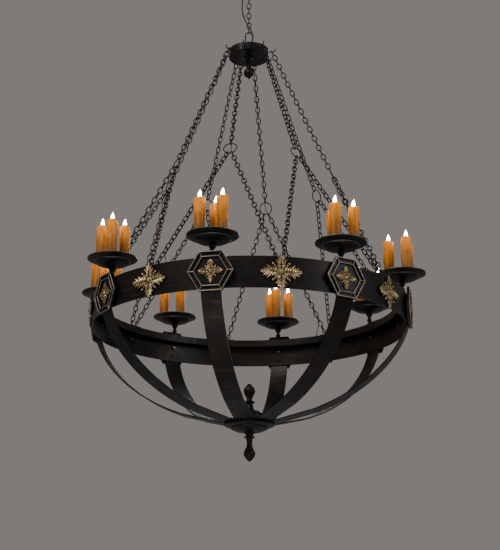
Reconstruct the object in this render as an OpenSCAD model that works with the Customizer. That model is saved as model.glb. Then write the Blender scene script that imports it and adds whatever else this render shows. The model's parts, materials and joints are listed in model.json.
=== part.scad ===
// Bowl-shaped ring chandelier in wrought iron with twenty-four candle lamps.
// Millimetres, +Z up. The origin is the centre of the ceiling plane, so the whole fixture hangs below z = 0.
// An azimuth is counted about Z from the -Y side, positive towards +X.

/* [Ring] */
// Outside diameter of the ring band
band_d = 1524; // [1510:2:1540]
// Height of the ring band
band_h = 140; // [134:1:142]
// Thickness of the ring band
band_t = 5; // [4:0.5:5]
// Azimuth of the first hexagon medallion
first_az = -12.6; // [-22:0.1:22]

/* [Chains] */
// Wire diameter of a chain link, a hook and an eye
wire = 5; // [4.6:0.1:5]
// Outside length of a chain link
link_l = 38; // [37:0.5:39]
// Outside width of a chain link
link_w = 25; // [24:0.5:26]
// Links in each chain from the hub to its bridle ring, an even number
upper_links = 26; // [24:2:28]
// Links in each chain from a bridle ring to the band, an odd number
lower_links = 25; // [23:2:27]
// Links in the chain under the ceiling canopy, an odd number
hang_links = 7; // [5:2:11]
// Outside diameter of a bridle ring
bridle_d = 68; // [64:1:72]

/* [Bowl] */
// Width of a bowl strap
strap_w = 90; // [80:1:92]
// Thickness of a bowl strap
strap_t = 6; // [5:0.5:6]
// Depth of the bowl straps below the middle of the band
bowl_depth = 525; // [500:5:550]
// Roundness of the bowl, 2 for an ellipse and less for a straighter curve
bowl_power = 1.9; // [1.8:0.05:2]

/* [Lamps] */
// Outside diameter of a drip dish
dish_d = 229; // [220:1:235]
// Height of a candle sleeve
candle_h = 177; // [150:1:180]
// Outside diameter of a candle sleeve
candle_d = 51; // [48:0.5:52]
// Distance of a candle from the middle of its dish
candle_ring = 59; // [57:0.5:59]

/* [Medallions] */
// Width of a hexagon medallion across its points
hex_points = 206; // [196:1:210]
// Width of a rosette on the band
rosette_w = 185; // [170:1:190]
// Height of a rosette on the band
rosette_h = 162; // [150:1:166]

/* [Hidden] */
$fn = 48;

iron = "#2b2522";
worn_iron = "#4a3d33";
gilt = "#8c7a4c";
wax = "#d98c2b";
light = "#fff2d0";
black = "#141414";

sides = 8;
step = 360 / sides;
band_r = band_d / 2;
fit_gap = 0.2;
play = 0.3;

// Chains: a link's centreline, the distance of two wires that hang in each other, and the pitch
link_run = link_l - link_w;
bend_r = (link_w - wire) / 2;
wires_apart = wire + play;
link_mid = (link_l - wire) / 2;
pitch = link_l - wire - wires_apart;
bridle_r = (bridle_d - wire) / 2;
eye_r = 8;

// Ceiling fitting
canopy_r = 76;
canopy_h = 32;
collar_h = 12;
hang_wire = 6;
hang_r = 14;
hang_apart = (hang_wire + wire) / 2 + 0.6;
upper_pivot_z = -canopy_h - collar_h - 2 * hang_r - 1;
lower_pivot_z = upper_pivot_z + hang_apart - (hang_links - 1) * pitch - (link_l - wire);

// Wireway and the eyes on it: heights count from the middle of the band
wire_top = 65;
wire_depth = 35;
wire_out = 41;
wire_t = 3;
eye_plate_t = 5;
eye_out = 730;
eye_side = 18;
eye_z = wire_top + 22;
eye_back = eye_out * cos(step / 2) + eye_side * sin(step / 2);
eye_half = eye_out * sin(step / 2) - eye_side * cos(step / 2);

// Hub: its height follows from the number of links
hook_out = 120;
upper_run = pitch * upper_links + bridle_r - wires_apart;
lower_run = pitch * lower_links + bridle_r - wires_apart + eye_r;
bridle_drop = sqrt(pow(lower_run, 2) - pow(eye_half, 2));
hook_z = eye_z + sqrt(pow(upper_run + bridle_drop, 2) - pow(eye_back - hook_out, 2));
hub_r = 102;
hub_h = 36;
hook_arm = 27;
hook_bend = 8;
hub_wall = 3;
hub_top = hook_z + hub_h / 2;
loop_r = 17.5;
loop_h = 104;
band_z = lower_pivot_z + hang_apart - hub_top - loop_h;

// The plane of one bridle, seen with its azimuth at -Y: its down direction, its normal and its ring
hook_at = [0, -hook_out, hook_z];
down = unit([0, -eye_back, eye_z] - hook_at);
side_x = [1, 0, 0];
bridle_at = hook_at + down * upper_run;
bridle_normal = cross(down, side_x);

// Bowl
bowl_mid = 20;
bowl_high = bowl_depth + bowl_mid;
strap_r = band_r + fit_gap + strap_t / 2;
bowl_out = strap_r / pow(1 - pow((band_h / 2 + bowl_mid) / bowl_high, bowl_power), 1 / bowl_power);
strap_land = 140;
strap_steps = 22;
plate_z = -bowl_high * pow(1 - pow(strap_land / bowl_out, bowl_power), 1 / bowl_power) + bowl_mid;
plate_r = 123;
plate_t = 6;
rod_r = 5;

// Lamps
dish_out = 742;
dish_z = 158;
dish_t = 2;
stem_top = 132;
socket_r = 13;

// Medallions
hex_z = 4;
hex_back = band_r + fit_gap + strap_t + fit_gap;
hex_t = 4;
hex_front = hex_back + hex_t;
bolt_r = 4;
hole_r = 4.2;

function unit(v) = v / norm(v);
function arc(cx, cz, r, from, to, steps) =
    [for (i = [0 : steps]) let (a = from + (to - from) * i / steps) [cx + r * cos(a), cz + r * sin(a)]];

// ---- general shapes ----

// Children once for each of the eight sides, turned by a part of the step
module around(turn = 0) {
    for (i = [0 : sides - 1]) rotate([0, 0, first_az + turn + i * step]) children();
}

// Children set out from the axis towards -Y, so that the local +Z looks outwards
module facing(out, z) {
    translate([0, -out, z]) rotate([90, 0, 0]) children();
}

// Part of a wire ring in the XY plane
module wire_arc(r, d, angle) {
    rotate_extrude(angle = angle) translate([r, 0]) circle(d = d, $fn = 24);
}

// One chain link in the XZ plane, its length along Z
module link() {
    rotate([90, 0, 0]) {
        for (s = [0, 180]) rotate([0, 0, s]) translate([0, link_run / 2, 0]) wire_arc(bend_r, wire, 180);
        for (s = [-1, 1]) translate([s * bend_r, 0, 0]) rotate([90, 0, 0])
            cylinder(h = link_run, d = wire, center = true, $fn = 24);
    }
}

// Children with their X along u and their Z along w, at p
module along(p, u, w) {
    v = cross(w, u);
    multmatrix([[u.x, v.x, w.x, p.x], [u.y, v.y, w.y, p.y], [u.z, v.z, w.z, p.z], [0, 0, 0, 1]]) children();
}

// A straight chain: links turned a quarter to each other, the first one's width along u
module chain(start, w, u, links) {
    for (k = [0 : links - 1])
        along(start + w * (link_mid + pitch * k), k % 2 == 0 ? u : cross(w, u), w) link();
}

// A hexagon with its points to the left and right, from one radius to another
module hex_ring(outer, inner, h) {
    linear_extrude(h) difference() {
        circle(r = outer, $fn = 6);
        circle(r = inner, $fn = 6);
    }
}

// Leaf star of four long and four short points
module leaf_star(w, h, t) {
    linear_extrude(t) polygon([for (i = [0 : 31])
        let (a = i * 360 / 32,
             reach = i % 8 == 0 ? 1 : i % 8 == 4 ? 0.74 : i % 2 == 0 ? 0.56 : 0.46)
        [w / 2 * reach * cos(a), h / 2 * reach * sin(a)]]);
}

// Round profile turned about the axis, given as a list of [radius, height]
module turned(points) {
    rotate_extrude($fn = 64) polygon(points);
}

// A round cord along a list of points
module cord(points, r, ring_sides) {
    n = len(points);
    tangents = [for (i = [0 : n - 1]) unit(points[min(i + 1, n - 1)] - points[max(i - 1, 0)])];
    rings = [for (i = [0 : n - 1])
        let (t = i == 0 || i == n - 1 ? [0, 0, sign(tangents[i].z)] : tangents[i],
             a = unit(cross(t, [0, 1, 0])), b = cross(t, a))
        for (k = [0 : ring_sides - 1])
            points[i] + r * (a * cos(k * 360 / ring_sides) + b * sin(k * 360 / ring_sides))];
    skin = [for (i = [0 : n - 2], k = [0 : ring_sides - 1])
        let (m = (k + 1) % ring_sides, lo = i * ring_sides, hi = lo + ring_sides)
        each [[lo + k, lo + m, hi + m], [lo + k, hi + m, hi + k]]];
    caps = [[for (k = [ring_sides - 1 : -1 : 0]) k],
            [for (k = [0 : ring_sides - 1]) (n - 1) * ring_sides + k]];
    polyhedron(rings, concat(skin, caps));
}

// A smooth curve through points, four steps to each stretch
function smooth(p) = [
    for (i = [0 : len(p) - 2], j = [0 : 3])
        let (a = p[max(i - 1, 0)], b = p[i], c = p[i + 1], d = p[min(i + 2, len(p) - 1)], t = j / 4)
        0.5 * (2 * b + (c - a) * t + (2 * a - 5 * b + 4 * c - d) * t * t + (3 * b - a - 3 * c + d) * t * t * t),
    p[len(p) - 1]
];

// ---- ceiling fitting ----

module ceiling_canopy() color(iron) {
    rotate_extrude($fn = 64) polygon([
        [canopy_r - 2, 0], [canopy_r, 0], [canopy_r, -4], [canopy_r - 4, -10], [canopy_r - 14, -18],
        [34, -25], [20, -28], [16, -canopy_h], [5.2, -canopy_h], [5.2, -26], [18, -26], [33, -23], [canopy_r - 15, -16],
        [canopy_r - 6, -9], [canopy_r - 2, -4]]);
    translate([cord_route[0].x, cord_route[0].y, -canopy_h - 4]) cylinder(h = 14, r = 6.5);
}

module canopy_crossbar() color("silver") difference() {
    translate([-55, -10, -3]) cube([110, 20, 3]);
    for (s = [-1, 1]) translate([s * 44.45, 0, -4]) cylinder(h = 5, r = 2.6);
    translate([0, 0, -4]) cylinder(h = 5, r = 5);
}

module canopy_nipple() color("silver") {
    translate([0, 0, -canopy_h - 9]) cylinder(h = canopy_h + 9, r = 4.8);
    translate([0, 0, -9]) cylinder(h = 6, r = 9, $fn = 6);
}

module canopy_loop() color(iron) {
    difference() {
        translate([0, 0, -canopy_h - collar_h]) cylinder(h = collar_h, r = 11);
        translate([0, 0, -canopy_h - 10]) cylinder(h = 11, r = 5);
    }
    translate([0, 0, upper_pivot_z + hang_r]) rotate([90, 0, 0]) wire_arc(hang_r, hang_wire, 360);
}

module suspension_chain() color(iron)
    chain([0, 0, upper_pivot_z + hang_apart], [0, 0, -1], [0, 1, 0], hang_links);

// Supply cord: beside the chain, across its front, and down inside the hub's loop
cord_r = 3.5;
cord_end_z = band_z + hub_top + 6;
cord_route = [
    [-26, -14, -canopy_h - 4], [-27, -14, -50], [-31, -15, -75], [-34, -16, -105], [-35, -17, -140],
    [-28, -18, -175], [-19, -19, -203], [-7, -19, -226], [6, -18, -249], [16, -17, -272],
    [20, -15, -294], [15, -14, -322], [12, -14, -344], [12, -14, cord_end_z]
];

module supply_cord() color(black) cord(smooth(cord_route), cord_r, 8);

// ---- hub ----

module hub_drum() color(iron) translate([0, 0, band_z + hub_top]) difference() {
    translate([0, 0, -hub_h]) cylinder(h = hub_h, r = hub_r, $fn = 96);
    translate([0, 0, -hub_h - 1]) cylinder(h = hub_h - hub_wall + 1, r = hub_r - hub_wall, $fn = 96);
}

module hub_cover() color(iron) translate([0, 0, band_z + hub_top - hub_h]) difference() {
    cylinder(h = hub_wall, r = hub_r - hub_wall - fit_gap, $fn = 96);
    translate([0, 0, -1]) cylinder(h = hub_wall + 2, r = rod_r + fit_gap);
}

// Loop of bent rod with its feet on a small plate
module hub_loop() color(iron) translate([0, 0, band_z + hub_top]) {
    translate([0, 0, loop_h - loop_r]) rotate([90, 0, 0]) wire_arc(loop_r, hang_wire, 180);
    for (s = [-1, 1]) translate([s * loop_r, 0, 2]) cylinder(h = loop_h - loop_r - 2, d = hang_wire, $fn = 24);
    translate([-26, -7, 0]) cube([52, 14, 5]);
}

// Stem, ball and drop under the hub
module hub_knob() color(iron) translate([0, 0, band_z + hub_top - hub_h]) {
    turned(concat([[0, 0], [20, 0], [20, -4], [13, -9], [12, -40], [16, -46], [12, -52], [12, -60]],
                  arc(0, -86, 27, 60, -30, 8), [[14, -106], [7, -112], [5, -117], [0, -117]]));
    cylinder(h = hub_h - hub_wall - fit_gap, r = rod_r);
}

// Hooks of bent wire around the hub: an arm and an end curled up and back over it
module hub_hooks() color(iron) around() translate([0, -hub_r, band_z + hook_z]) {
    rotate([90, 0, 0]) cylinder(h = hook_arm, d = wire, $fn = 24);
    translate([0, -hook_arm, hook_bend]) rotate([180, 90, 0]) wire_arc(hook_bend, wire, 150);
}

// ---- bridles ----

module one_ring() along(bridle_at, side_x, bridle_normal) wire_arc(bridle_r, wire, 360);

module bridle_rings() color(iron) translate([0, 0, band_z]) around() one_ring();

module upper_chain(i) color(iron) translate([0, 0, band_z]) rotate([0, 0, first_az + i * step])
    chain(hook_at - down * wires_apart, down, side_x, upper_links);

function eye_at(s) = [s * eye_half, -eye_back, eye_z];
function eye_way(s) = unit(eye_at(s) - bridle_at);

module lower_chains(i) color(iron) translate([0, 0, band_z]) rotate([0, 0, first_az + i * step])
    for (s = [-1, 1])
        chain(bridle_at + eye_way(s) * (bridle_r - wires_apart), eye_way(s), bridle_normal, lower_links);

// Two eyes on a foot plate, behind each rosette of the band
module band_eyes() color(iron) translate([0, 0, band_z]) {
    around(step / 2) translate([-42, -eye_out - 13, wire_top]) cube([84, 22, eye_plate_t]);
    around() for (s = [-1, 1]) {
        along(eye_at(s), cross(bridle_normal, eye_way(s)), bridle_normal) wire_arc(eye_r, wire, 360);
        foot = eye_at(s) + eye_way(s) * eye_r;
        translate([foot.x, foot.y, wire_top + 1]) cylinder(h = foot.z - wire_top - 1, r = 3, $fn = 24);
    }
}

// Two thin leads that follow a bridle each, from the hub to the wireway
lead_r = 1.75;
lead_off = link_w / 2 + lead_r + 0.5;
lead_in_az = step / 2 - 4.75;
lead_in = [-724 * sin(lead_in_az), -724 * cos(lead_in_az), wire_top + 6];
lead_route = [
    [0, -hub_r - lead_r - 0.1, hook_z - 10], [0, -hub_r - 8, hook_z - 20],
    hook_at + down * 40 - bridle_normal * lead_off,
    bridle_at - bridle_normal * lead_off,
    eye_at(-1) - eye_way(-1) * 60 - bridle_normal * lead_off,
    lead_in + [0, 0, 12], lead_in
];

module lead_wires() color(black) translate([0, 0, band_z])
    for (i = [0, sides / 2]) rotate([0, 0, first_az + i * step]) cord(lead_route, lead_r, 8);

// Bushings where the supply cord enters the hub and the leads enter the wireway
module cord_bushings() color(black) {
    translate([12, -14, cord_end_z - 6]) cylinder(h = 6, r = 6.5);
    translate([0, 0, band_z]) for (i = [0, sides / 2]) rotate([0, 0, first_az + i * step])
        translate(lead_in - [0, 0, 6]) cylinder(h = 6, r = 4);
}

// ---- ring ----

// Holes through the band: one behind each rosette and medallion, two for each strap
module band_holes(r, long) {
    around(step / 2) facing(band_r - 30, 0) cylinder(h = long, r = r, $fn = 24);
    around() facing(band_r - 30, hex_z) cylinder(h = long, r = r, $fn = 24);
    around() for (z = [-42, 48]) facing(band_r - 30, z) cylinder(h = long, r = r, $fn = 24);
}

module ring_band() color(iron) translate([0, 0, band_z]) difference() {
    rotate_extrude($fn = 128) translate([band_r - band_t, -band_h / 2]) square([band_t, band_h]);
    band_holes(hole_r, 60);
}

// Angle section that carries the wires and the lamps round the inside of the band
module wireway() color(iron) translate([0, 0, band_z]) rotate_extrude($fn = 128) {
    inner = band_r - band_t - wire_out;
    translate([inner, wire_top - wire_t]) square([wire_out - fit_gap, wire_t]);
    translate([inner, wire_top - wire_depth]) square([wire_t, wire_depth]);
}

module hexagon_plates() color(iron) translate([0, 0, band_z]) around() facing(hex_back, hex_z) difference() {
    linear_extrude(hex_t) circle(d = hex_points, $fn = 6);
    translate([0, 0, -1]) cylinder(h = hex_t + 2, r = hole_r, $fn = 24);
}

// Outer rim, inner rim and the six mitre ribs between them
hex_rim = 8;
hex_inner = 78;
module hexagon_frames() color(worn_iron) translate([0, 0, band_z]) around() facing(hex_front, hex_z) {
    hex_ring(hex_points / 2, hex_points / 2 - hex_rim, 9);
    hex_ring(hex_inner, hex_inner - 6, 8);
    for (a = [0 : 60 : 300]) rotate([0, 0, a]) translate([hex_inner - 3, -2.5, 0])
        cube([hex_points / 2 - hex_inner - 1, 5, 7]);
}

module small_rosettes() color(gilt) translate([0, 0, band_z]) around() facing(hex_front, hex_z) difference() {
    leaf_star(110, 107, 7);
    translate([0, 0, -1]) cylinder(h = 9, r = hole_r, $fn = 24);
}

module large_rosettes() color(gilt) translate([0, 0, band_z]) around(step / 2) facing(band_r + play, 0)
    difference() {
        leaf_star(rosette_w, rosette_h, 9);
        translate([0, 0, -1]) cylinder(h = 11, r = hole_r, $fn = 24);
    }

// A bolt with a round head outside, its inner end 12 mm behind the band
module rosette_bolt(front) {
    translate([0, 0, -band_t - 12]) cylinder(h = front + band_t + 12, r = bolt_r, $fn = 24);
    translate([0, 0, front]) rotate_extrude($fn = 24)
        polygon(concat([[0, 0]], arc(0, -3, 9.5, 18.43, 90, 5)));
}

module rosette_bolts() color(gilt) translate([0, 0, band_z]) {
    around() facing(band_r, hex_z) rosette_bolt(hex_front + 7 - band_r);
    around(step / 2) facing(band_r, 0) rosette_bolt(play + 9);
}

module rosette_nut() translate([0, 0, -band_t - 8]) difference() {
    cylinder(h = 7, r = 8, $fn = 6);
    translate([0, 0, -1]) cylinder(h = 9, r = bolt_r + fit_gap, $fn = 24);
}

module rosette_nuts() color(iron) translate([0, 0, band_z]) {
    around() facing(band_r, hex_z) rosette_nut();
    around(step / 2) facing(band_r, 0) rosette_nut();
}

// ---- bowl ----

// Middle line of a strap as [out, height]: straight on the band, then the bowl's curve, then a flat end
function bowl_z(out) = bowl_mid - bowl_high * pow(1 - pow(out / bowl_out, bowl_power), 1 / bowl_power);
strap_line = concat(
    [[strap_r, 62]],
    [for (i = [0 : strap_steps])
        let (a = i / strap_steps, out = strap_land + (strap_r - strap_land) * sqrt(1 - a * a))
        [out, bowl_z(out)]],
    [[78, plate_z]]
);
function side_of(line, i) =
    let (d = unit(line[min(i + 1, len(line) - 1)] - line[max(i - 1, 0)])) [-d.y, d.x];

module strap() {
    n = len(strap_line);
    face = [for (i = [0 : n - 1]) let (s = i < 2 ? [1, 0] : i > n - 3 ? [0, -1] : side_of(strap_line, i))
        [strap_line[i], s * strap_t / 2]];
    outline = concat([for (f = face) f[0] - f[1]], [for (i = [n - 1 : -1 : 0]) face[i][0] + face[i][1]]);
    intersection() {
        rotate([0, 0, -90]) rotate([90, 0, 0]) linear_extrude(strap_w, center = true) polygon(outline);
        rotate([0, 0, -90]) translate([0, 0, -900]) linear_extrude(1800)
            polygon([[0, 0], [1200, -1200 * tan(step / 2 - 0.2)], [1200, 1200 * tan(step / 2 - 0.2)]]);
    }
}

module bowl_straps() color(iron) translate([0, 0, band_z]) around() difference() {
    strap();
    for (z = [-42, hex_z, 48]) facing(band_r - 10, z) cylinder(h = 30, r = hole_r, $fn = 24);
    translate([0, -100, plate_z - 10]) cylinder(h = 20, r = hole_r, $fn = 24);
}

// Rivets: two on the band and one on the bowl plate for each strap
module strap_rivets() color(iron) translate([0, 0, band_z]) around() {
    for (z = [-42, 48]) facing(band_r, z) {
        translate([0, 0, -band_t - 1]) cylinder(h = band_t + 1 + fit_gap + strap_t, r = bolt_r, $fn = 24);
        translate([0, 0, -band_t - 4.2]) cylinder(h = 4, r1 = 5, r2 = 8, $fn = 24);
    }
    translate([0, -100, plate_z - strap_t / 2 - plate_t]) cylinder(h = plate_t + strap_t, r = bolt_r, $fn = 24);
    translate([0, -100, plate_z + strap_t / 2]) cylinder(h = 4, r1 = 8, r2 = 5, $fn = 24);
}

module bowl_plate() color(iron) translate([0, 0, band_z + plate_z - strap_t / 2]) difference() {
    translate([0, 0, -plate_t]) cylinder(h = plate_t, r = plate_r, $fn = 96);
    translate([0, 0, -plate_t - 1]) cylinder(h = plate_t + 2, r = rod_r + fit_gap);
    around() translate([0, -100, -plate_t - 1]) cylinder(h = plate_t + 2, r = hole_r, $fn = 24);
}

// Bell-shaped cap over the ends of the straps
module bowl_cap() color(iron) translate([0, 0, band_z + plate_z - strap_t / 2]) difference() {
    turned(concat([[0, 0], [70, 0], [70, strap_t + play], [88, strap_t + play], [90, 11], [84, 16], [72, 20],
                   [70, 34], [66, 44], [58, 52]],
                  arc(52, 88, 34, -100, -168, 6), [[16, 96], [0, 96]]));
    translate([0, 0, -1]) cylinder(h = 100, r = rod_r + fit_gap);
}

// Stepped dish under the plate
dish_h = 60;
module bowl_dish() color(iron) translate([0, 0, band_z + plate_z - strap_t / 2 - plate_t]) difference() {
    turned(concat([[0, 0], [118, 0], [121, -4], [118, -9], [100, -15], [92, -16], [88, -24], [62, -36]],
                  arc(40, -66, 26, 90, 165, 6), [[12, -dish_h], [0, -dish_h]]));
    translate([0, 0, -dish_h - 1]) cylinder(h = dish_h + 2, r = rod_r + fit_gap);
}

module center_rod() color("silver") translate([0, 0, band_z + plate_z - strap_t / 2 - plate_t - dish_h - 8])
    cylinder(h = dish_h + 8 + plate_t + 104, r = rod_r);

// Acorn on a turned neck, its foot at z = 0
module acorn(neck) {
    difference() {
        turned(concat([[0, 0], [25, 0], [26, 4], [22, 8], [15, 10], [13, neck * 0.6], [16, neck - 3], [22, neck],
                       [20, neck + 4]],
                      arc(0, neck + 24, 28, -32, 28, 6), [[17, neck + 48], [9, neck + 57], [0, neck + 62]]));
        translate([0, 0, -1]) cylinder(h = 12, r = rod_r + fit_gap);
    }
}

module upper_finial() color(iron) translate([0, 0, band_z + plate_z - strap_t / 2 + 96]) acorn(34);

module lower_finial() color(iron) translate([0, 0, band_z + plate_z - strap_t / 2 - plate_t - dish_h])
    mirror([0, 0, 1]) acorn(58);

// ---- lamps ----

module at_dishes() translate([0, 0, band_z]) around() translate([0, -dish_out, 0]) children();

// Candles: one towards the axis and two either side of the outward direction
module at_candles() at_dishes() for (a = [60, 180, 300]) rotate([0, 0, a]) translate([0, -candle_ring, 0])
    children();

// Turned stem with a ball and a cup
module dish_stems() color(iron) at_dishes() turned(concat(
    [[0, wire_top], [4.8, wire_top], [4.8, wire_top + 10], [7, wire_top + 12], [7, wire_top + 18]],
    arc(0, wire_top + 29, 12, -54, 54, 8),
    [[7, wire_top + 42], [10, stem_top - 20], [16, stem_top - 11], [16, stem_top - 6], [13, stem_top],
     [0, stem_top]]));

module stem_nuts() color(iron) at_dishes() translate([0, 0, wire_top]) difference() {
    cylinder(h = 8, r = 10, $fn = 6);
    translate([0, 0, -1]) cylinder(h = 10, r = 5, $fn = 24);
}

// Spun shallow cone between the stem and the dish
module dish_cones() color(iron) at_dishes() turned([[0, stem_top], [20, stem_top], [26, stem_top + 1],
    [48, stem_top + 6], [66, stem_top + 12], [78, dish_z - 7], [83, dish_z], [81, dish_z], [76.5, dish_z - 5.5],
    [65, stem_top + 14], [47, stem_top + 8], [24, stem_top + 4], [0, stem_top + 4]]);

module drip_dishes() color(iron) at_dishes() turned([[0, dish_z], [86, dish_z], [100, dish_z + 4],
    [dish_d / 2, dish_z + 11], [dish_d / 2, dish_z + 16], [dish_d / 2 - dish_t, dish_z + 16],
    [dish_d / 2 - dish_t, dish_z + 12.6], [99, dish_z + 6], [85, dish_z + dish_t], [0, dish_z + dish_t]]);

floor_z = dish_z + dish_t;
candle_top = floor_z + candle_h;

module lamp_sockets() color("ivory") at_candles() turned([[0, floor_z], [12, floor_z], [12, floor_z + 3],
    [6, floor_z + 4], [6, candle_top - 50], [socket_r, candle_top - 48], [socket_r, candle_top - 14],
    [0, candle_top - 14]]);

// Hollow sleeve with a rounded shoulder and a hole for the bulb
module candle_sleeves() color(wax) at_candles() {
    r = candle_d / 2;
    turned(concat([[r - 3, floor_z], [r, floor_z]], arc(r - 8, candle_top - 8, 8, 0, 90, 6),
                  [[8, candle_top], [8, candle_top - 3], [r - 8, candle_top - 3], [r - 3, candle_top - 8]]));
}

module flame_bulbs() color(light) at_candles() turned([[0, candle_top - 14], [6.5, candle_top - 14],
    [6.5, candle_top + 2], [8.5, candle_top + 9], [8.5, candle_top + 14], [6, candle_top + 23],
    [2.5, candle_top + 33], [0, candle_top + 38]]);

ceiling_canopy();
canopy_crossbar();
canopy_nipple();
canopy_loop();
suspension_chain();
supply_cord();
hub_drum();
hub_cover();
hub_loop();
hub_knob();
hub_hooks();
cord_bushings();
bridle_rings();
upper_chain(0);  // upper_chain_1
upper_chain(1);  // upper_chain_2
upper_chain(2);  // upper_chain_3
upper_chain(3);  // upper_chain_4
upper_chain(4);  // upper_chain_5
upper_chain(5);  // upper_chain_6
upper_chain(6);  // upper_chain_7
upper_chain(7);  // upper_chain_8
lower_chains(0);  // lower_chains_1
lower_chains(1);  // lower_chains_2
lower_chains(2);  // lower_chains_3
lower_chains(3);  // lower_chains_4
lower_chains(4);  // lower_chains_5
lower_chains(5);  // lower_chains_6
lower_chains(6);  // lower_chains_7
lower_chains(7);  // lower_chains_8
lead_wires();
band_eyes();
ring_band();
wireway();
hexagon_plates();
hexagon_frames();
small_rosettes();
large_rosettes();
rosette_bolts();
rosette_nuts();
bowl_straps();
strap_rivets();
dish_stems();
stem_nuts();
dish_cones();
drip_dishes();
lamp_sockets();
candle_sleeves();
flame_bulbs();
bowl_plate();
bowl_cap();
bowl_dish();
center_rod();
upper_finial();
lower_finial();
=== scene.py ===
"""Looks of a bowl-shaped ring chandelier: wrought iron, gilt leaf rosettes, wax-like candles and cords.

Lengths are metres in the frame's own axes: +Z up, the origin in the ceiling plane. Heights that belong to
the ring are counted from the middle of its band. An azimuth starts at -Y and grows towards +X. Every new
piece is a surface worked out as whole arrays, and keeps its place in its mesh.
"""

import json
import logging
import math
from collections.abc import Sequence
from dataclasses import dataclass, field, replace
from enum import Enum

import bmesh
import bpy
import numpy as np
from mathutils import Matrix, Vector

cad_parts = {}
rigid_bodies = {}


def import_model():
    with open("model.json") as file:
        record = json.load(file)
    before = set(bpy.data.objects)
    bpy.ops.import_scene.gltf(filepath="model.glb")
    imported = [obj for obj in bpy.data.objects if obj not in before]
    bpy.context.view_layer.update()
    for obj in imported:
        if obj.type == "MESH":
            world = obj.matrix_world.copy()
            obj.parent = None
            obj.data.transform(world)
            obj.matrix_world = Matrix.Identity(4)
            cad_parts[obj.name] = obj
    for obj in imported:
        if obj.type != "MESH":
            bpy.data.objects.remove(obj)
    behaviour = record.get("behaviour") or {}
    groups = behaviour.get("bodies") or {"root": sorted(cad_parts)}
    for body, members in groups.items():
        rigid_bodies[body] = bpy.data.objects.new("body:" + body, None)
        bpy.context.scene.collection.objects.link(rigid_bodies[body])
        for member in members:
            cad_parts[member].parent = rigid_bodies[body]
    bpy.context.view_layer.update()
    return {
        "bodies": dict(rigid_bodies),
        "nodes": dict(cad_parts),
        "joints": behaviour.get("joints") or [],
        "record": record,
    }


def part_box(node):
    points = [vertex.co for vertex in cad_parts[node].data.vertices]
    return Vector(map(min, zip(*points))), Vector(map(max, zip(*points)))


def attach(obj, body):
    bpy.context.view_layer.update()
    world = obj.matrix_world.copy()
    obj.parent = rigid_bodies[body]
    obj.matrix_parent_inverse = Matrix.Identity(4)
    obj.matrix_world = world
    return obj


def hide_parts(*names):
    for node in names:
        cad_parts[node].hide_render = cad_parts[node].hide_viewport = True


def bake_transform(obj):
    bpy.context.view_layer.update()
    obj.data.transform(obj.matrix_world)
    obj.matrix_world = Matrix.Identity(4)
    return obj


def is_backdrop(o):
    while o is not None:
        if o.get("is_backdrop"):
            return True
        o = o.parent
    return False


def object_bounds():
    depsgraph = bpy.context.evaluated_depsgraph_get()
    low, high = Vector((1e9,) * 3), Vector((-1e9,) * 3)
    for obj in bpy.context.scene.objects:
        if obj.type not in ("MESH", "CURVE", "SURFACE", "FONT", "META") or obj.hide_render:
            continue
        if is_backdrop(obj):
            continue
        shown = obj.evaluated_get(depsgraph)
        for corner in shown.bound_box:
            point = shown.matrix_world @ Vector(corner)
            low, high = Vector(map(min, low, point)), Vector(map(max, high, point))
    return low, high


Array = np.ndarray
log = logging.getLogger("chandelier")

SIDES = 8
FIRST_AZIMUTH = math.radians(-12.6)
STEP = 2 * math.pi / SIDES
SIDE_AZIMUTHS = FIRST_AZIMUTH + STEP * np.arange(SIDES)
WELD = 1e-6


class Slot(Enum):
    """The record's material slots."""

    IRON = "iron"
    WORN = "worn_edge_iron"
    GILT = "gilt"
    STEEL = "zinc_steel"
    BLACK = "black_plastic"
    SOCKET = "socket_plastic"
    AMBER = "amber_resin"
    BULB = "bulb_glass"


class Mark(Enum):
    """Values kept at the points of a surface, which the finishes read."""

    RELIEF = "relief"
    HEIGHT = "height"
    DRIP = "drip"


# ---- surfaces ----


@dataclass
class Surface:
    """Points, four-sided faces, marks at the points and, where needed, a map at the face corners."""

    points: Array
    faces: Array
    marks: dict[str, Array] = field(default_factory=dict)
    corners: Array | None = None

    def placed(self, across: Array, up: Array, out: Array, at: Array) -> "Surface":
        """Sets the surface's x, y and z along three directions, from a new origin.

        Args:
            across, up, out: unit vectors that x, y and z follow.
            at: where the old origin comes to lie.

        Returns:
            A new surface with the same faces and marks.
        """
        return replace(self, points=self.points @ np.stack([across, up, out]) + at)

    def turned(self, azimuth: float) -> "Surface":
        """Turns the surface about the Z axis by an azimuth."""
        c, s = math.cos(azimuth), math.sin(azimuth)
        return replace(self, points=self.points @ np.array([[c, s, 0.0], [-s, c, 0.0], [0.0, 0.0, 1.0]]))

    def raised(self, height: float) -> "Surface":
        """Moves the surface up."""
        return replace(self, points=self.points + [0.0, 0.0, height])

    @staticmethod
    def joined(parts: Sequence["Surface"]) -> "Surface":
        """Puts several surfaces with the same kinds of marks into one."""
        starts = np.cumsum([0] + [len(p.points) for p in parts[:-1]])
        marks = {k: np.concatenate([p.marks[k] for p in parts]) for k in parts[0].marks}
        corners = None if parts[0].corners is None else np.concatenate([p.corners for p in parts])
        return Surface(
            np.concatenate([p.points for p in parts]),
            np.concatenate([p.faces + s for p, s in zip(parts, starts)]),
            marks,
            corners,
        )

    def around(self) -> "Surface":
        """The surface once for each side of the chandelier."""
        return Surface.joined([self.turned(a) for a in SIDE_AZIMUTHS])


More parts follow.
